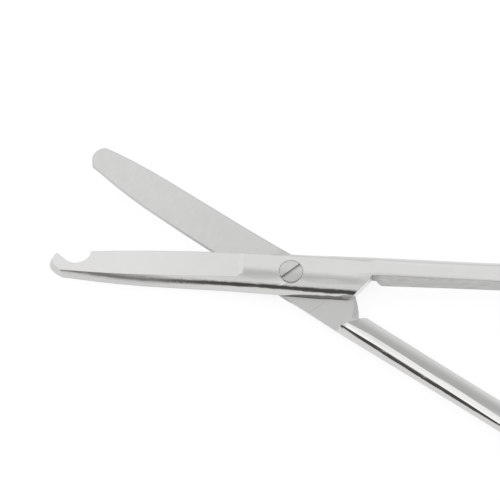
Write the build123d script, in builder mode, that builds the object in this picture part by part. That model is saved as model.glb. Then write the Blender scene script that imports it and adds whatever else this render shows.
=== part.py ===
from build123d import *
from math import cos, radians, sin
import os

os.makedirs("parts", exist_ok=True)

# Suture scissors with a hooked blade: two forged halves crossed at a slotted joint screw.
# Each half is shaped in its closed position, with its blade towards -X, its shank towards +X,
# the spine of its blade towards -Y and the plane where the halves meet at Z 0. Placing it on its
# own plane then opens the scissors to the angle at which they lie.
# The finished object lies flat: +Z up, +X along the line midway between the shanks, and the
# origin on the joint's axis at the height of the table. All sizes are in millimetres.

opening = 26.4  # angle between the halves as they lie
joint_half = 1.95  # half of the joint's thickness, from the meeting plane to a flat crown
handle_length = 96.25  # joint axis to the end of the rings
meeting_gap = 0.04  # between the two ground faces that meet

# Sections of a half's blank, square to its length, one for each station along it.
# spine and outer are how far it reaches to -Y and +Y, the rolls are the widths over which its
# corners are rounded off, and crown is its half thickness.
stations = {
    -36: {"spine": 2.98, "outer": 3.20, "spine_roll": 1.50, "outer_roll": 0.40, "crown": 1.50},
    -30: {"spine": 3.06, "outer": 3.20, "spine_roll": 1.60, "outer_roll": 0.40, "crown": 1.58},
    -24: {"spine": 3.30, "outer": 3.20, "spine_roll": 2.45, "outer_roll": 0.40, "crown": 1.70},
    -12: {"spine": 3.10, "outer": 3.12, "spine_roll": 2.95, "outer_roll": 0.50, "crown": 1.85},
    0: {"spine": 2.96, "outer": 3.14, "spine_roll": 3.20, "outer_roll": 1.00, "crown": 1.98},
    8: {"spine": 2.88, "outer": 3.62, "spine_roll": 3.25, "outer_roll": 1.45, "crown": 2.00},
    17: {"spine": 2.30, "outer": 4.08, "spine_roll": 3.10, "outer_roll": 1.85, "crown": 1.86},
    28: {"spine": 0.83, "outer": 4.54, "spine_roll": 2.80, "outer_roll": 2.08, "crown": 1.72},
    42: {"spine": -0.90, "outer": 5.25, "spine_roll": 2.10, "outer_roll": 1.90, "crown": 1.67},
    54: {"spine": -2.95, "outer": 6.50, "spine_roll": 1.75, "outer_roll": 1.75, "crown": 1.65},
    66: {"spine": -5.75, "outer": 8.95, "spine_roll": 1.55, "outer_roll": 1.55, "crown": 1.52},
}
plain_spine = {-36: 2.90, -30: 3.62, -24: 3.70, -12: 3.22}  # the plain blade is wider there
under_share = {8: 0.85, 17: 0.82, 28: 0.82, 42: 0.88}  # the shank is thinner below its middle
ellipse_pull = 0.5523  # handle length of a Bezier curve that draws a quarter of an ellipse
spine_side_pull = 0.75  # the spine's corner stays steep for longer, then turns over quickly
spine_crown_pull = 0.50
spine_lean = 0.25  # its side leans in by this for each millimetre of height
lean_end = 20.0  # from here on the side is upright, so that the shank has no ridge

# Blade
edge_lean = 11.0  # lean of the ground wall behind a cutting edge, from upright
panel_tip = (-34.0, 1.22)  # flat panel ground on the outer face: place and height at the tip
panel_root = (-7.45, 1.71)  # and at the joint
panel_ramp = 0.90  # length over which it climbs back to the crown
hooked_edge = [(-28.1, 1.09), (-22.5, 1.66), (-17.0, 2.08), (-11.0, 2.42), (-5.0, 2.62)]
plain_edge = [(-31.65, 0.10), (-27.6, 0.88), (-20.6, 1.67), (-13.7, 2.15), (-6.0, 2.50)]
tip_center = (-31.65, -1.76)  # round tip of the plain blade
tip_radius = 1.86
hook_lean = 16.0  # lean of the hook's outer side, from upright

# Joint
head_radius = 1.64
head_depth = 0.80
head_sunk = 0.02  # below the crown
head_clearance = 0.03
shoulder_radius = 1.15
running_clearance = 0.03
thread_radius = 0.95
slot_width = 0.42
slot_depth = 0.36
slot_angle = 56.0  # direction in which the slot has come to rest
ride_inner = 2.6  # half-moon ground a little lower behind the pivot, where the halves don't rub
ride_outer = 5.95
ride_depth = 0.06
bevel_start = (10.55, 0.83)  # bevel ground on the lobe's end, at the meeting face
bevel_end = (8.85, -3.16)
bevel_rise = 0.5  # its height for each millimetre of its width

# Ring
ring_inner_width = 19.0
ring_inner_length = 25.0
ring_wire = 3.2
ring_thickness = 3.2
ring_edge = 1.5  # rounding of the wire's edges
ring_gap = 0.30  # from the line between the halves to a ring's outer side, when closed
neck_outer = (57.0, 7.05)  # where the neck comes out of the shank's outer side
neck_inner = (57.0, 3.90)  # and of its inner side
cut_side = 8.0  # farther out than the blank's sides
cut_end = -40.0  # beyond the tips
cut_height = 4.0  # more than the thickness of a half

ring_half_width = ring_inner_width / 2 + ring_wire
ring_half_length = ring_inner_length / 2 + ring_wire
ring_x = handle_length - ring_half_length
ring_y = ring_half_width + ring_gap


def section_of_blank(x, spines):
    """The outline of a half's blank at one station: flat crowns between rounded sides."""
    size = stations[x]
    low, high, top = -spines.get(x, size["spine"]), size["outer"], size["crown"]
    low_top, high_top = low + size["spine_roll"], high - size["outer_roll"]
    lean = spine_lean if x < lean_end else 0
    with BuildSketch(Plane.YZ.offset(x)) as section:
        with BuildLine():
            for z in (top, -top * under_share.get(x, 1)):
                side_handle = (low + lean * top * spine_side_pull, z * spine_side_pull)
                crown_handle = (low_top - size["spine_roll"] * spine_crown_pull, z)
                Bezier((low, 0), side_handle, crown_handle, (low_top, z))
                Line((low_top, z), (high_top, z))
                crown_handle = (high_top + size["outer_roll"] * ellipse_pull, z)
                Bezier((high_top, z), crown_handle, (high, z * ellipse_pull), (high, 0))
        make_face()
    return section.sketch


def beyond_edge(edge):
    """What grinding takes off beyond a cutting edge, which is given by five of its points."""
    tip = (cut_end, edge[0][1] - 1.3)
    runout = (2.5, 3.5)
    with BuildSketch() as beyond:
        with BuildLine():
            Line(tip, edge[0])
            ThreePointArc(*edge[0:3])
            ThreePointArc(*edge[2:5])
            ThreePointArc(edge[-1], (-1.5, 2.86), runout)
            Polyline(runout, (runout[0], cut_side), (cut_end, cut_side), tip)
        make_face()
    return beyond.sketch


# Finger ring, with the neck by which the shank runs into it
with BuildPart() as ring_plate:
    with BuildSketch(Plane.XY.offset(-ring_thickness / 2)):
        with BuildLine():
            rim = EllipticalCenterArc(
                (ring_x, ring_y), ring_half_length, ring_half_width, -123, arc_size=294
            )
            Bezier(rim @ 1, rim @ 1 + (rim % 1) * 3.2, (62.5, 8.6), neck_outer)
            Line(neck_outer, neck_inner)
            Bezier(neck_inner, (62.0, 5.1), rim @ 0 - (rim % 0) * 4.4, rim @ 0)
        make_face()
        with Locations((ring_x, ring_y)):
            Ellipse(ring_inner_length / 2, ring_inner_width / 2, mode=Mode.SUBTRACT)
    extrude(amount=ring_thickness)
    rims = ring_plate.faces().filter_by(Axis.Z).edges()
    fillet(rims.filter_by(lambda edge: edge.center().X > neck_inner[0] + 0.01), ring_edge)

bevel_run = Vector(*bevel_end) - Vector(*bevel_start)
bevel_plane = Plane(
    origin=(bevel_start[0], bevel_start[1], meeting_gap / 2),
    x_dir=(-bevel_run.Y, bevel_run.X, 0),
    z_dir=bevel_run,
)


def forging(spines):
    """A half, closed, up to the work that differs between the hooked and the plain one."""
    with BuildPart() as half:
        loft(sections=[section_of_blank(x, spines) for x in stations])
        add(ring_plate.part)
        # Flat crowns at the joint
        for side in (1, -1):
            with BuildSketch(Plane.XY.offset(side * joint_half)):
                Rectangle(5 * cut_side, 2 * cut_side)
            extrude(amount=side * cut_height, mode=Mode.SUBTRACT)
        # Meeting face, from the tip to the shoulder where the shank takes its full thickness
        with BuildSketch(Plane.XY.offset(meeting_gap / 2)):
            with BuildLine():
                ThreePointArc((9.5, 4.1), (10.3, 3.02), (11.2, 2.0))
                Line((11.2, 2.0), (11.85, 1.28))
                ThreePointArc((11.85, 1.28), (12.25, 0.78), (13.0, 0.44))
                Polyline((13.0, 0.44), (13.0, -cut_side), (cut_end, -cut_side), (cut_end, cut_side))
                Polyline((cut_end, cut_side), (9.5, cut_side), (9.5, 4.1))
            make_face()
        extrude(amount=-cut_height, mode=Mode.SUBTRACT)
        # Rounded end of the lobe and the flat wall on the shank's inner side
        with BuildSketch(Plane.XY.offset(-cut_height)):
            with BuildLine():
                ThreePointArc((7.4, -2.95), (8.75, -2.62), (9.45, -1.95))
                ThreePointArc((9.45, -1.95), (10.55, -0.80), (11.4, 0.42))
                ThreePointArc((11.4, 0.42), (25.0, 1.05), (56.0, 2.13))
                Polyline((56.0, 2.13), (56.0, -cut_side), (7.4, -cut_side), (7.4, -2.95))
            make_face()
        extrude(amount=2 * cut_height, mode=Mode.SUBTRACT)
        # Bevel on the lobe's end
        with BuildSketch(bevel_plane):
            with BuildLine():
                Polyline((0, 0), (2, -1), (2, 2 * bevel_rise), close=True)
            make_face()
        extrude(amount=bevel_run.length, mode=Mode.SUBTRACT)
        # Flat panel on the blade's outer face, and the ramp where it ends
        panel_slope = (panel_root[1] - panel_tip[1]) / (panel_root[0] - panel_tip[0])
        ramp_end = panel_root[0] + panel_ramp
        with BuildSketch(Plane.XZ):
            with BuildLine():
                Polyline(
                    (cut_end, panel_tip[1] + panel_slope * (cut_end - panel_tip[0])),
                    panel_root,
                    (ramp_end, joint_half),
                    (ramp_end, cut_height),
                    (cut_end, cut_height),
                    close=True,
                )
            make_face()
        extrude(amount=cut_side, both=True, mode=Mode.SUBTRACT)
    return half.part


tip_top = (tip_center[0], tip_center[1] + tip_radius)
tip_end = (tip_center[0] - tip_radius, tip_center[1])
tip_bottom = (tip_center[0], tip_center[1] - tip_radius)
hooked_blank = forging({})
plain_blank = forging(plain_spine)

with BuildPart() as hooked_closed:
    add(hooked_blank)
    beyond_hooked = beyond_edge(hooked_edge)
    extrude(to_extrude=beyond_hooked, amount=cut_height, taper=-edge_lean, mode=Mode.SUBTRACT)
    # Hook: its outer side, which leans in, then its point and the notch behind the point
    with BuildSketch() as beyond_hook:
        with BuildLine():
            ThreePointArc((-30.4, -3.22), (-32.35, -2.76), (-33.52, -1.92))
            ThreePointArc((-33.52, -1.92), (-33.83, -1.10), (-33.62, -0.28))
            Polyline((-33.62, -0.28), (-33.32, 0.4), (cut_end, 0.4), (cut_end, -cut_side))
            Polyline((cut_end, -cut_side), (-30.4, -cut_side), (-30.4, -3.22))
        make_face()
    extrude(
        to_extrude=beyond_hook.sketch, amount=cut_height, taper=-hook_lean, mode=Mode.SUBTRACT
    )
    with BuildSketch():
        with BuildLine():
            Polyline((cut_end, -0.50), (-34.2, -0.50), (-33.0, 0.17), (-32.72, 0.08), (-31.5, -0.88))
            ThreePointArc((-31.5, -0.88), (-30.13, -1.14), (-29.1, -0.75))
            Spline((-29.1, -0.75), (-28.5, -0.22), (-28.1, 1.10), tangents=[(1, 0.6), (0.1, 1)])
            Polyline((-28.1, 1.10), (-27.9, cut_side), (cut_end, cut_side), (cut_end, -0.50))
        make_face()
    extrude(amount=cut_height, mode=Mode.SUBTRACT)
    with Locations((0, 0, joint_half)):
        CounterBoreHole(
            radius=shoulder_radius + running_clearance,
            counter_bore_radius=head_radius + head_clearance,
            counter_bore_depth=head_sunk + head_depth + head_clearance,
        )

with BuildPart() as plain_closed:
    add(plain_blank)
    beyond_plain = beyond_edge(plain_edge)
    extrude(to_extrude=beyond_plain, amount=cut_height, taper=-edge_lean, mode=Mode.SUBTRACT)
    # Round tip
    with BuildSketch():
        with BuildLine():
            ThreePointArc(tip_top, tip_end, tip_bottom)
            Polyline(tip_bottom, (tip_center[0], -cut_side), (cut_end, -cut_side))
            Polyline((cut_end, -cut_side), (cut_end, cut_side), (tip_center[0], cut_side), tip_top)
        make_face()
    extrude(amount=cut_height, mode=Mode.SUBTRACT)
    with BuildSketch(Plane.XY.offset(meeting_gap / 2)):
        Circle(ride_outer)
        Circle(ride_inner, mode=Mode.SUBTRACT)
        with Locations((-cut_side / 2, 0)):
            Rectangle(cut_side, 2 * cut_side, mode=Mode.SUBTRACT)
    extrude(amount=ride_depth, mode=Mode.SUBTRACT)
    with Locations((0, 0, joint_half)):
        Hole(radius=thread_radius)

# The halves in place: the hooked one above, the plain one turned over below it
half_angle = radians(opening / 2)
hooked_plane = Plane(
    origin=(0, 0, joint_half), x_dir=(cos(half_angle), sin(half_angle), 0), z_dir=(0, 0, 1)
)
plain_plane = Plane(
    origin=(0, 0, joint_half), x_dir=(cos(half_angle), -sin(half_angle), 0), z_dir=(0, 0, -1)
)

with BuildPart(hooked_plane) as hooked_half:
    add(hooked_closed.part)

with BuildPart(plain_plane) as plain_half:
    add(plain_closed.part)

# Joint screw: its head lies in the hooked half, its threaded end is flush with the plain half
head_top = 2 * joint_half - head_sunk
with BuildPart() as pivot_screw:
    with BuildSketch(Plane.XZ):
        with BuildLine():
            Polyline(
                (0, 0),
                (thread_radius, 0),
                (thread_radius, joint_half - meeting_gap / 2),
                (shoulder_radius, joint_half - meeting_gap / 2),
                (shoulder_radius, head_top - head_depth),
                (head_radius, head_top - head_depth),
                (head_radius, head_top),
                (0, head_top),
                close=True,
            )
        make_face()
    revolve(axis=Axis.Z)
    with BuildSketch(Plane.XY.offset(head_top)):
        Rectangle(3 * head_radius, slot_width, rotation=slot_angle)
    extrude(amount=-slot_depth, mode=Mode.SUBTRACT)

hooked_half.part.label = "hooked_half"
plain_half.part.label = "plain_half"
pivot_screw.part.label = "pivot_screw"
export_step(hooked_half.part, "parts/hooked_half.step")
export_step(plain_half.part, "parts/plain_half.step")
export_step(pivot_screw.part, "parts/pivot_screw.step")
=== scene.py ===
import bpy
import math
from mathutils import Matrix, Vector

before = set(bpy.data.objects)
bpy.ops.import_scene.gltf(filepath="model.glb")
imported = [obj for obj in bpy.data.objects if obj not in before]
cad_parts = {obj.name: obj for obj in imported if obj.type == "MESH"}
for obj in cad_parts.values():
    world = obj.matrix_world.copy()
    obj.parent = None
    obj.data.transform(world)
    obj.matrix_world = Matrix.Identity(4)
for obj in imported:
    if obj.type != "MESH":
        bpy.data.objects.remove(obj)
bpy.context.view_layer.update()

# Suture scissors: a hooked half above, a plain half below and a slotted joint screw. The three
# steel pieces are the CAD's own. This script gives them their finish, and adds the camera, the
# light and the floor.

atRest = {
    "meetingHeight": 0.00195,            # of the plane where the halves meet, in metres
    "halfOpening": 13.2,                 # degrees that each half is turned from closed
}


# Helpers for node trees. A value is a number, a tuple or another node's output.

def feed(tree, socket, value):
    if hasattr(value, "is_output"):
        tree.links.new(value, socket)
    else:
        socket.default_value = value


def newGroup(name, inputs, results):
    group = bpy.data.node_groups.new(name, "ShaderNodeTree")
    for label, kind in inputs.items():
        group.interface.new_socket(label, in_out="INPUT", socket_type=kind)
    for label in results:
        group.interface.new_socket(label, in_out="OUTPUT", socket_type="NodeSocketFloat")
    given = group.nodes.new("NodeGroupInput").outputs
    return group, given, group.nodes.new("NodeGroupOutput").inputs


def placeGroup(tree, group, **values):
    node = tree.nodes.new("ShaderNodeGroup")
    node.node_tree = group
    for label, value in values.items():
        feed(tree, node.inputs[label], value)
    return node.outputs


def addMapping(tree, kind, source, **values):
    node = tree.nodes.new("ShaderNodeMapping")
    node.vector_type = kind
    feed(tree, node.inputs["Vector"], source)
    for label, value in values.items():
        feed(tree, node.inputs[label], value)
    return node.outputs["Vector"]


def addAxes(tree, vector):
    node = tree.nodes.new("ShaderNodeSeparateXYZ")
    feed(tree, node.inputs[0], vector)
    return list(node.outputs)


def addMath(tree, operation, *values, clamp=False):
    node = tree.nodes.new("ShaderNodeMath")
    node.operation = operation
    node.use_clamp = clamp
    for socket, value in zip(node.inputs, values):
        feed(tree, socket, value)
    return node.outputs[0]


def addProduct(tree, first, *others):
    for other in others:
        first = addMath(tree, "MULTIPLY", first, other)
    return first


def addSwing(tree, pattern, middle, swing):
    # a pattern from 0 to 1 moves the value by half the swing to each side of its middle
    return addMath(tree, "MULTIPLY_ADD", pattern, swing, middle - swing / 2)


def addRamp(tree, value, start, end, low=0.0, high=1.0):
    # low up to the start, high from the end on, smooth between
    node = tree.nodes.new("ShaderNodeMapRange")
    node.interpolation_type = "SMOOTHSTEP"
    for label, number in (("Value", value), ("From Min", start), ("From Max", end),
                          ("To Min", low), ("To Max", high)):
        feed(tree, node.inputs[label], number)
    return node.outputs["Result"]


def addFade(tree, value, start, end):
    return addRamp(tree, value, start, end, 1.0, 0.0)


def addBand(tree, value, start, full, fade, end):
    return addProduct(tree, addRamp(tree, value, start, full), addFade(tree, value, fade, end))


def addMix(tree, factor, first, second):
    node = tree.nodes.new("ShaderNodeMix")
    node.data_type = "FLOAT"
    for place, value in ((0, factor), (2, first), (3, second)):     # its sockets for numbers
        feed(tree, node.inputs[place], value)
    return node.outputs[0]


def addColourMix(tree, factor, first, second):
    node = tree.nodes.new("ShaderNodeMix")
    node.data_type = "RGBA"
    for place, value in ((0, factor), (6, first), (7, second)):     # its sockets for colours
        feed(tree, node.inputs[place], value)
    return node.outputs[2]


# Camera: the photo looks down at 65 degrees, and its right-hand direction lies 18.4 degrees
# from the line midway between the shanks.

camera = {
    "azimuth": 18.4, "elevation": 65.0,
    "distance": 3.0,
    "millimetresPerPixel": 0.14, "imagePixels": 500,
    "pivotPixel": (291.0, 277.0),        # where the joint's middle is in the photo
    "sensorWidth": 36,
    "clip": (0.01, 20),
}


def makeCamera():
    azimuth, elevation = math.radians(camera["azimuth"]), math.radians(camera["elevation"])
    back = Vector((math.sin(azimuth) * math.cos(elevation),
                   -math.cos(azimuth) * math.cos(elevation), math.sin(elevation)))
    right = Vector((math.cos(azimuth), math.sin(azimuth), 0))
    up = back.cross(right)
    pixel = camera["millimetresPerPixel"] / 1000
    middle = camera["imagePixels"] / 2
    across = (middle - camera["pivotPixel"][0]) * pixel
    along = (camera["pivotPixel"][1] - middle) * pixel
    data = bpy.data.cameras.new("photoCamera")
    data.sensor_width = camera["sensorWidth"]
    data.lens = data.sensor_width * camera["distance"] / (pixel * camera["imagePixels"])
    data.clip_start, data.clip_end = camera["clip"]
    eye = bpy.data.objects.new("photoCamera", data)
    bpy.context.scene.collection.objects.link(eye)
    turn = Matrix((right, up, back)).transposed().to_4x4()
    pivot = Vector((0, 0, atRest["meetingHeight"]))
    place = pivot + right * across + up * along + back * camera["distance"]
    eye.matrix_world = Matrix.Translation(place) @ turn
    bpy.context.scene.camera = eye
    print("camera", [round(v, 4) for v in place], "lens", round(data.lens, 1))


# Sky, which lights the steel and is mirrored in it: bright towards the viewer with a dark gap
# below, grey above and behind. Angles are degrees from straight up, positive towards the viewer.

sky = {
    "levels": [(-90, 0.95), (-60, 0.90), (-25, 0.78), (-6, 0.73), (2, 0.75), (9, 0.95),
               (38, 0.92), (43, 0.75), (52, 0.10), (76, 0.07), (82, 1.00)],
    "gapTint": (1.06, 0.97, 0.98),       # the gap is a little warm
    "gapBelow": 0.2,                     # levels under this belong to the gap
    "softbox": 1.62,                     # level of the stronger light at the viewer's left
    "softboxAngles": (-3, 4, 42, 52),    # where it starts, is full, fades and ends
    "softboxSide": (-0.19, -0.10),       # how far to the left it is full and ends
    "leftTurn": 8.0,                     # degrees by which light and gap stand higher there
    "backdrop": 1.0,                     # level that the camera sees past the floor
}


def makeSky():
    world = bpy.data.worlds.new("studio")
    bpy.context.scene.world = world
    world.use_nodes = True
    tree = world.node_tree
    tree.nodes.clear()
    coords = tree.nodes.new("ShaderNodeTexCoord")
    turned = addMapping(tree, "POINT", coords.outputs["Generated"],
                        Rotation=(0, 0, -math.radians(camera["azimuth"])))
    side, away, up = addAxes(tree, turned)
    angle = addMath(tree, "ARCTAN2", addMath(tree, "MULTIPLY", away, -1.0), up)
    left = addFade(tree, side, *sky["softboxSide"])
    angle = addMath(tree, "MULTIPLY_ADD", left, math.radians(sky["leftTurn"]), angle)
    share = addMath(tree, "MULTIPLY_ADD", angle, 1 / math.pi, 0.5, clamp=True)
    ramp = tree.nodes.new("ShaderNodeValToRGB")
    feed(tree, ramp.inputs[0], share)
    stops = ramp.color_ramp.elements
    while len(stops) < len(sky["levels"]):
        stops.new(0.5)
    for stop, (degrees, level) in zip(stops, sky["levels"]):
        stop.position = degrees / 180 + 0.5
        tint = sky["gapTint"] if level < sky["gapBelow"] else (1, 1, 1)
        stop.color = (*(level * part for part in tint), 1)
    softbox = addBand(tree, angle, *[math.radians(degrees) for degrees in sky["softboxAngles"]])
    level = sky["softbox"]
    light = addColourMix(tree, addProduct(tree, softbox, left), ramp.outputs["Color"],
                         (level, level, level, 1))
    steelSees = tree.nodes.new("ShaderNodeBackground")
    feed(tree, steelSees.inputs["Color"], light)
    cameraSees = tree.nodes.new("ShaderNodeBackground")
    cameraSees.inputs["Color"].default_value = (1, 1, 1, 1)
    cameraSees.inputs["Strength"].default_value = sky["backdrop"]
    ray = tree.nodes.new("ShaderNodeLightPath")
    either = tree.nodes.new("ShaderNodeMixShader")
    for socket, source in zip(either.inputs, (ray.outputs["Is Camera Ray"],
                                              steelSees.outputs[0], cameraSees.outputs[0])):
        feed(tree, socket, source)
    out = tree.nodes.new("ShaderNodeOutputWorld")
    feed(tree, out.inputs["Surface"], either.outputs[0])
    print("sky", len(sky["levels"]), "levels and a softbox")


# Floor: pale paper that takes the shadow, and looks near white to the camera and in the steel.

floor = {
    "size": 6.0,
    "drop": 0.00002,                     # metres under the scissors, so that no faces coincide
    "colour": 0.22,
    "glow": 0.84,
}


def makeFloor():
    bpy.ops.object.select_all(action="DESELECT")
    bpy.ops.mesh.primitive_plane_add(size=floor["size"], location=(0, 0, -floor["drop"]))
    paper = bpy.context.object
    paper.name = "studioFloor"
    material = bpy.data.materials.new("studioFloor")
    material.use_nodes = True
    tree = material.node_tree
    tree.nodes.clear()
    matt = tree.nodes.new("ShaderNodeBsdfDiffuse")
    level = floor["colour"]
    matt.inputs["Color"].default_value = (level, level, level, 1)
    glow = tree.nodes.new("ShaderNodeEmission")
    ray = tree.nodes.new("ShaderNodeLightPath").outputs
    seen = addMath(tree, "MAXIMUM", ray["Is Camera Ray"], ray["Is Glossy Ray"])
    seen = addMath(tree, "MAXIMUM", seen, ray["Is Transmission Ray"])
    feed(tree, glow.inputs["Strength"], addMath(tree, "MULTIPLY", seen, floor["glow"]))
    both = tree.nodes.new("ShaderNodeAddShader")
    feed(tree, both.inputs[0], matt.outputs[0])
    feed(tree, both.inputs[1], glow.outputs[0])
    out = tree.nodes.new("ShaderNodeOutputMaterial")
    feed(tree, out.inputs["Surface"], both.outputs[0])
    paper.data.materials.append(material)
    print("floor", floor["size"], "m")


# Fine marks: noise drawn out along one axis, as a polishing belt leaves it. Spacing is how many
# marks there are to a millimetre along each axis.

fineMarks = {
    "detail": 3, "roughness": 0.6,
    "contrast": (0.28, 0.72),            # the noise from here to here fills the whole range
}


def makeMarksGroup():
    group, given, result = newGroup(
        "fineMarks",
        {"Position": "NodeSocketVector", "Spacing": "NodeSocketVector"},
        ["Value"])
    stretch = group.nodes.new("ShaderNodeVectorMath")
    stretch.operation = "MULTIPLY"
    feed(group, stretch.inputs[0], given["Position"])
    feed(group, stretch.inputs[1], given["Spacing"])
    noise = group.nodes.new("ShaderNodeTexNoise")
    noise.inputs["Scale"].default_value = 1
    noise.inputs["Detail"].default_value = fineMarks["detail"]
    noise.inputs["Roughness"].default_value = fineMarks["roughness"]
    feed(group, noise.inputs["Vector"], stretch.outputs[0])
    feed(group, result["Value"], addRamp(group, noise.outputs[0], *fineMarks["contrast"]))
    return group


# Painted edge shade: a mask that is 1 along sharp edges, where the steel's colour is painted
# darker as the thin dark line that a rounded edge mirrors.

edgeShading = {
    "radius": 0.00018, "samples": 6,     # reach of the rounding in metres
    "flat": 0.997,                       # a normal that turns less than this is no edge's
}


def makeEdgeGroup():
    group, given, result = newGroup("shadedEdge", {"Sharpest": "NodeSocketFloat"}, ["Mask"])
    bevel = group.nodes.new("ShaderNodeBevel")
    bevel.samples = edgeShading["samples"]
    bevel.inputs["Radius"].default_value = edgeShading["radius"]
    face = group.nodes.new("ShaderNodeNewGeometry")
    dot = group.nodes.new("ShaderNodeVectorMath")
    dot.operation = "DOT_PRODUCT"
    feed(group, dot.inputs[0], bevel.outputs["Normal"])
    feed(group, dot.inputs[1], face.outputs["Normal"])
    mask = addFade(group, dot.outputs["Value"], given["Sharpest"], edgeShading["flat"])
    feed(group, result["Mask"], mask)
    return group


# Where each finish lies on a half. Position is in millimetres in the half's own closed place:
# the blade points to -X, its spine is on the -Y side, its outer face looks to +Z, and the halves
# meet at height 0. Two numbers are where a ramp starts and ends, and four are where a band
# starts, is full, fades and ends. Those named Facing and Lean are parts of the normal.

zones = {
    "shankAlong": (8.0, 14.0),           # the joint's flat crown becomes the shank's round one
    "panelEnd": (-7.0, -6.4),            # the blade's ground panel ends before the joint
    "crownAcross": (-0.6, 0.35),         # over the joint, polished turns to satin
    "satinFacing": (0.80, 0.88),
    "satinLean": (0.10, 0.27),           # how far a surface leans to the side where satin ends
    "satinLeanOnShank": (0.30, 0.52),
    "meetingFacing": (0.97, 0.995), "meetingHeight": (-0.2, -0.1),
    "grindingEnd": (-4.5, -1.5),         # crosswise grinding gives way to the lapped joint
    "uprightFacing": (0.25, 0.45),
    "wallFacing": (0.2, 0.5),
    "wallAlong": (7.3, 7.6, 53.0, 57.0),
    "wallLine": (11.4, 0.42, 0.038),     # a point of the wall, along and across, and its slope
    "edgeFacing": (0.3, 0.6), "edgeEnd": (1.0, 3.0),
    "bevelFacing": (0.78, 0.86, 0.92, 0.95), "bevelAlong": (6.5, 7.0, 10.8, 11.0),
    "underFacing": (0.80, 0.94), "underHeight": (-0.5, -0.4),
}


def makeZonesGroup():
    group, given, result = newGroup(
        "finishZones",
        {"Position": "NodeSocketVector", "Normal": "NodeSocketVector"},
        ["Satin", "Ground", "Lap", "Wall", "Edge", "Bevel", "Under", "Shank", "FromWall"])
    along, across, height = addAxes(group, given["Position"])
    facingY, facingZ = addAxes(group, given["Normal"])[1:]
    toSpine = addMath(group, "MULTIPLY", facingY, -1.0)
    down = addMath(group, "MULTIPLY", facingZ, -1.0)
    upright = addFade(group, addMath(group, "ABSOLUTE", facingZ), *zones["uprightFacing"])

    shank = addRamp(group, along, *zones["shankAlong"])
    joint = addProduct(group, addRamp(group, along, *zones["panelEnd"]),
                       addMath(group, "SUBTRACT", 1.0, shank))
    crown = addRamp(group, across, *zones["crownAcross"])
    leanStart, leanEnd = [addMix(group, shank, onBlade, onShank) for onBlade, onShank
                          in zip(zones["satinLean"], zones["satinLeanOnShank"])]
    satin = addProduct(group, addFade(group, addMath(group, "ABSOLUTE", facingY),
                                      leanStart, leanEnd),
                       addRamp(group, facingZ, *zones["satinFacing"]),
                       addMix(group, joint, 1.0, crown))
    meeting = addProduct(group, addRamp(group, down, *zones["meetingFacing"]),
                         addRamp(group, height, *zones["meetingHeight"]))
    ground = addProduct(group, meeting, addFade(group, along, *zones["grindingEnd"]))
    lap = addMath(group, "SUBTRACT", meeting, ground)
    wall = addProduct(group, addRamp(group, toSpine, *zones["wallFacing"]), upright,
                      addBand(group, along, *zones["wallAlong"]))
    edge = addProduct(group, addRamp(group, facingY, *zones["edgeFacing"]), upright,
                      addFade(group, along, *zones["edgeEnd"]))
    bevel = addProduct(group, addBand(group, down, *zones["bevelFacing"]),
                       addBand(group, along, *zones["bevelAlong"]))
    under = addProduct(group, addRamp(group, down, *zones["underFacing"]),
                       addFade(group, height, *zones["underHeight"]))
    wallAt, wallAcross, rise = zones["wallLine"]
    wallPlace = addMath(group, "MULTIPLY_ADD", along, rise, wallAcross - rise * wallAt)
    fromWall = addMath(group, "SUBTRACT", across, wallPlace)

    for label, value in (("Satin", satin), ("Ground", ground), ("Lap", lap), ("Wall", wall),
                         ("Edge", edge), ("Bevel", bevel), ("Under", under), ("Shank", shank),
                         ("FromWall", fromWall)):
        feed(group, result[label], value)
    return group


# What all steel here shares

def newSteel(name):
    material = bpy.data.materials.new(name)
    material.use_nodes = True
    tree = material.node_tree
    tree.nodes["Principled BSDF"].inputs["Metallic"].default_value = 1
    return material, tree, tree.nodes.new("ShaderNodeTexCoord").outputs


def finishSteel(tree, level, tint, rough, relief, depth):
    shader = tree.nodes["Principled BSDF"]
    colour = addColourMix(tree, level, (0, 0, 0, 1), (*tint, 1))
    feed(tree, shader.inputs["Base Color"], colour)
    feed(tree, shader.inputs["Roughness"], rough)
    bump = tree.nodes.new("ShaderNodeBump")
    bump.inputs["Strength"].default_value = 1
    bump.inputs["Distance"].default_value = depth
    feed(tree, bump.inputs["Height"], relief)
    feed(tree, shader.inputs["Normal"], bump.outputs["Normal"])


def addMarks(tree, place, spacing):
    return placeGroup(tree, marksGroup, Position=place, Spacing=spacing)["Value"]


def addFinishes(tree, base, zone, finishes):
    # each finish covers what came before it, where its zone is 1
    for name, value in finishes.items():
        base = addMix(tree, zone[name], base, value)
    return base


# Steel of the two halves. A level is how much light a finish throws back. A pair named Along is
# where a finish starts and ends changing, in millimetres from the joint, the blade being minus.

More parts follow.
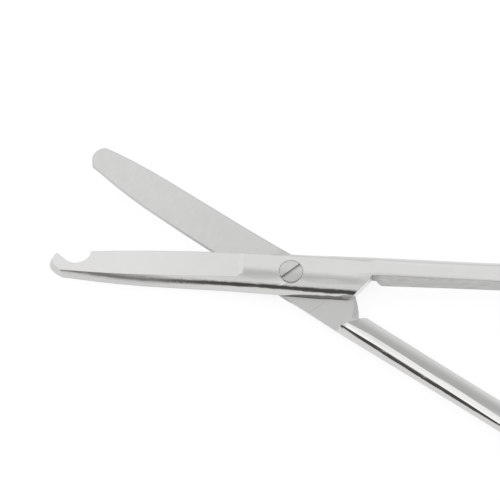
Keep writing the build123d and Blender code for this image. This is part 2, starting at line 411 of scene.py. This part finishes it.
forgedSteel = {
    "tint": (1.0, 0.998, 0.984),
    "polishedLevel": 0.63, "polishedRoughness": 0.12,
    "tipRoughness": 0.20, "tipAlong": (-21, -7),      # added on the polished spine near the tip
    "tipMarks": 0.3,                                  # and how much that varies
    "satinLevel": 0.825, "satinRoughness": 0.44, "satinMarks": 0.06,
    "satinAtTip": 0.882, "satinAlong": (-26, -6),
    # where the shank's crown rounds over towards the inner wall, its satin is painted darker as
    # shade
    "satinShadedNearWall": 0.78, "satinFromWall": (0, 0.55),     # where the shank's crown rounds over
    "groundLevel": 0.79, "groundRoughness": 0.36,
    "groundMarks": 0.05, "groundRoughMarks": 0.08,
    "groundAtJoint": 0.94, "groundAlong": (-30, -6),  # share of its level left at the joint
    "lapLevel": 0.66, "lapRoughness": 0.36,           # where the halves rub at the joint
    "wallLevel": 0.47, "wallRoughness": 0.30,         # the shank's inner wall
    "wallMarks": 0.20,
    # the wall's rounded start is painted darker as shade
    "wallShadedAtStart": 0.70, "wallAlong": (11.4, 13.0),
    # the short curved wall is painted lighter than the inner wall: a painted highlight
    "arcHighlightLevel": 0.80, "arcAlong": (10.8, 11.4),       # short curved wall before the inner wall
    "edgeLevel": 0.47, "edgeRoughness": 0.30,         # the narrow wall above the cutting edge
    # towards the joint the level is painted down, as the shadow of the hooked blade on this wall
    "edgeShadowAtJoint": 0.28, "edgeAlong": (-23, -12),
    "bevelLevel": 0.58, "bevelRoughness": 0.30,       # at the end of the joint's meeting face
    # the polished faces under the meeting height are painted brighter near the inner wall and
    # darker away from it: a painted reflection
    "underLitNearWall": 1.34, "underShadedAway": 0.84,  # shares of the polished level
    "underFromWall": (0, 1.4), "underRoughness": 0.16,
    "sharpestEdge": 0.95,
    # along edges the level is painted darker as shade, more so on the inner wall's edges
    "shadedEdge": 0.78, "shadedWallEdge": 0.53,           # shares of the level left along edges
    "clouding": 0.02,
    "markDepth": 0.0000012,                           # in metres
    "polishedMarks": 0.1,                             # share of the grinding marks left elsewhere
    # marks to a millimetre along, across and up
    "lengthwise": (0.35, 9, 9), "crosswise": (5, 0.5, 0.5), "clouds": (0.5, 0.5, 0.5),
}


def makeForgedSteel(name, turnedOver):
    look = forgedSteel
    material, tree, coords = newSteel(name)
    turn = (math.pi if turnedOver else 0, 0, -math.radians(atRest["halfOpening"]))
    meeting = atRest["meetingHeight"] * 1000
    place = addMapping(tree, "POINT", coords["Object"], Rotation=turn, Scale=(1000, 1000, 1000),
                       Location=(0, 0, meeting if turnedOver else -meeting))
    facing = addMapping(tree, "VECTOR", coords["Normal"], Rotation=turn)
    zone = placeGroup(tree, zonesGroup, Position=place, Normal=facing)
    lengthwise = addMarks(tree, place, look["lengthwise"])
    crosswise = addMarks(tree, place, look["crosswise"])
    clouds = addMarks(tree, place, look["clouds"])
    edge = placeGroup(tree, edgeGroup, Sharpest=look["sharpestEdge"])["Mask"]
    along = addAxes(tree, place)[0]

    # how much light each finish throws back, with painted shade and painted highlights where
    # noted
    # painted reflection: brighter near the inner wall, darker away from it
    under = addRamp(tree, zone["FromWall"], *look["underFromWall"],
                    look["underLitNearWall"], look["underShadedAway"])
    polished = addProduct(tree, addMix(tree, zone["Under"], 1.0, under), look["polishedLevel"])
    satin = addRamp(tree, along, *look["satinAlong"], look["satinAtTip"], look["satinLevel"])
    # painted shade where the shank's crown rounds over
    crownShade = addRamp(tree, zone["FromWall"], *look["satinFromWall"], look["satinShadedNearWall"], 1.0)
    satin = addProduct(tree, satin, addMix(tree, zone["Shank"], 1.0, crownShade))
    ground = addRamp(tree, along, *look["groundAlong"],
                     look["groundLevel"], look["groundLevel"] * look["groundAtJoint"])
    ground = addProduct(tree, ground, addSwing(tree, crosswise, 1.0, look["groundMarks"]))
    # the inner wall is painted darker at its start, as shade
    wall = addProduct(tree, addSwing(tree, lengthwise, look["wallLevel"], look["wallMarks"]),
                      addRamp(tree, along, *look["wallAlong"], look["wallShadedAtStart"], 1.0))
    # painted highlight on the short curved wall
    wall = addMix(tree, addFade(tree, along, *look["arcAlong"]), wall, look["arcHighlightLevel"])
    # darker towards the joint: painted shadow of the hooked blade
    cutting = addRamp(tree, along, *look["edgeAlong"], look["edgeLevel"], look["edgeShadowAtJoint"])
    level = addFinishes(tree, polished, zone, {
        "Satin": satin, "Ground": ground, "Lap": look["lapLevel"], "Wall": wall,
        "Edge": cutting, "Bevel": look["bevelLevel"]})
    # painted shade along edges, darker on the inner wall's edges
    edgeShadeShare = addMix(tree, zone["Wall"], look["shadedEdge"], look["shadedWallEdge"])
    level = addProduct(tree, level, addSwing(tree, clouds, 1.0, look["clouding"]),
                       addMix(tree, edge, 1.0, edgeShadeShare))

    # how much each finish blurs what it mirrors
    dull = addProduct(tree, addFade(tree, along, *look["tipAlong"]),
                      addSwing(tree, crosswise, 1.0, look["tipMarks"]))
    rough = addMath(tree, "MULTIPLY_ADD", dull, look["tipRoughness"], look["polishedRoughness"])
    rough = addFinishes(tree, rough, zone, {
        "Under": look["underRoughness"],
        "Satin": addSwing(tree, lengthwise, look["satinRoughness"], look["satinMarks"]),
        "Ground": addSwing(tree, crosswise, look["groundRoughness"], look["groundRoughMarks"]),
        "Lap": look["lapRoughness"], "Wall": look["wallRoughness"],
        "Edge": look["edgeRoughness"], "Bevel": look["bevelRoughness"]})

    # belt marks run along satin and walls, grinding marks across the blade's inner face
    belt = addProduct(tree, lengthwise, addMath(tree, "MAXIMUM", zone["Satin"], zone["Wall"]))
    grinding = addProduct(tree, crosswise,
                          addMix(tree, zone["Ground"], look["polishedMarks"], 1.0))
    relief = addMath(tree, "ADD", belt, grinding)
    finishSteel(tree, level, look["tint"], rough, relief, look["markDepth"])
    return material


# Joint screw: a turned satin head

screwSteel = {
    "tint": (1.0, 1.0, 0.985),
    "level": 0.72, "levelAtSpine": 0.59,  # ground with the half, so it shares its duller band
    "bandAcross": (-0.5, 0.7),            # from the middle towards the spine, in millimetres
    # the slot's walls are painted darker as the shadow in the slot
    "slotWallShade": 0.50,                    # share of the level left on the slot's walls
    "wallFacing": (0.3, 0.6),             # a surface that points up less than this is a wall
    "slotReach": (1.50, 1.60),            # where the slot ends, in millimetres from the middle
    # along the head's edges the level is painted darker as shade
    "sharpestEdge": 0.90, "shadedEdge": 0.85,
    "roughness": 0.42,
    "spacing": (3, 3, 3), "marks": 0.04, "roughMarks": 0.08,
    "ringsPerMillimetre": 9, "ringDepth": 0.0000004,
}


def makeScrewSteel(name):
    look = screwSteel
    material, tree, coords = newSteel(name)
    place = addMapping(tree, "POINT", coords["Object"], Scale=(1000, 1000, 1000))
    x, y = addAxes(tree, place)[:2]
    squares = addMath(tree, "ADD", addProduct(tree, x, x), addProduct(tree, y, y))
    radius = addMath(tree, "SQRT", squares)
    marks = addMarks(tree, place, look["spacing"])
    edge = placeGroup(tree, edgeGroup, Sharpest=look["sharpestEdge"])["Mask"]

    turn = math.radians(atRest["halfOpening"])        # the hooked half's, which it is ground with
    toSpine = addMath(tree, "MULTIPLY_ADD", x, math.sin(turn),
                      addProduct(tree, y, -math.cos(turn)))
    band = addRamp(tree, toSpine, *look["bandAcross"], look["level"], look["levelAtSpine"])
    facingZ = addAxes(tree, coords["Normal"])[2]
    # painted shadow on the slot's walls
    slotShade = addRamp(tree, addMath(tree, "ABSOLUTE", facingZ), *look["wallFacing"],
                    look["slotWallShade"], 1.0)
    slotShade = addMix(tree, addRamp(tree, radius, *look["slotReach"]), slotShade, 1.0)
    level = addProduct(tree, band, slotShade, addSwing(tree, marks, 1.0, look["marks"]),
                       addMix(tree, edge, 1.0, look["shadedEdge"]))
    rough = addSwing(tree, marks, look["roughness"], look["roughMarks"])
    rings = addMath(tree, "SINE", addProduct(tree, radius, look["ringsPerMillimetre"] * math.tau))
    finishSteel(tree, level, look["tint"], rough, rings, look["ringDepth"])
    return material


def dress(node, material):
    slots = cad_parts[node].data.materials
    slots.clear()
    slots.append(material)
    print("finish", material.name, "on", node)


makeCamera()
makeSky()
makeFloor()
marksGroup = makeMarksGroup()
edgeGroup = makeEdgeGroup()
zonesGroup = makeZonesGroup()
dress("hooked_half", makeForgedSteel("hookedSteel", turnedOver=False))
dress("plain_half", makeForgedSteel("plainSteel", turnedOver=True))
dress("pivot_screw", makeScrewSteel("screwSteel"))

bpy.context.scene.view_settings.view_transform = "Standard"
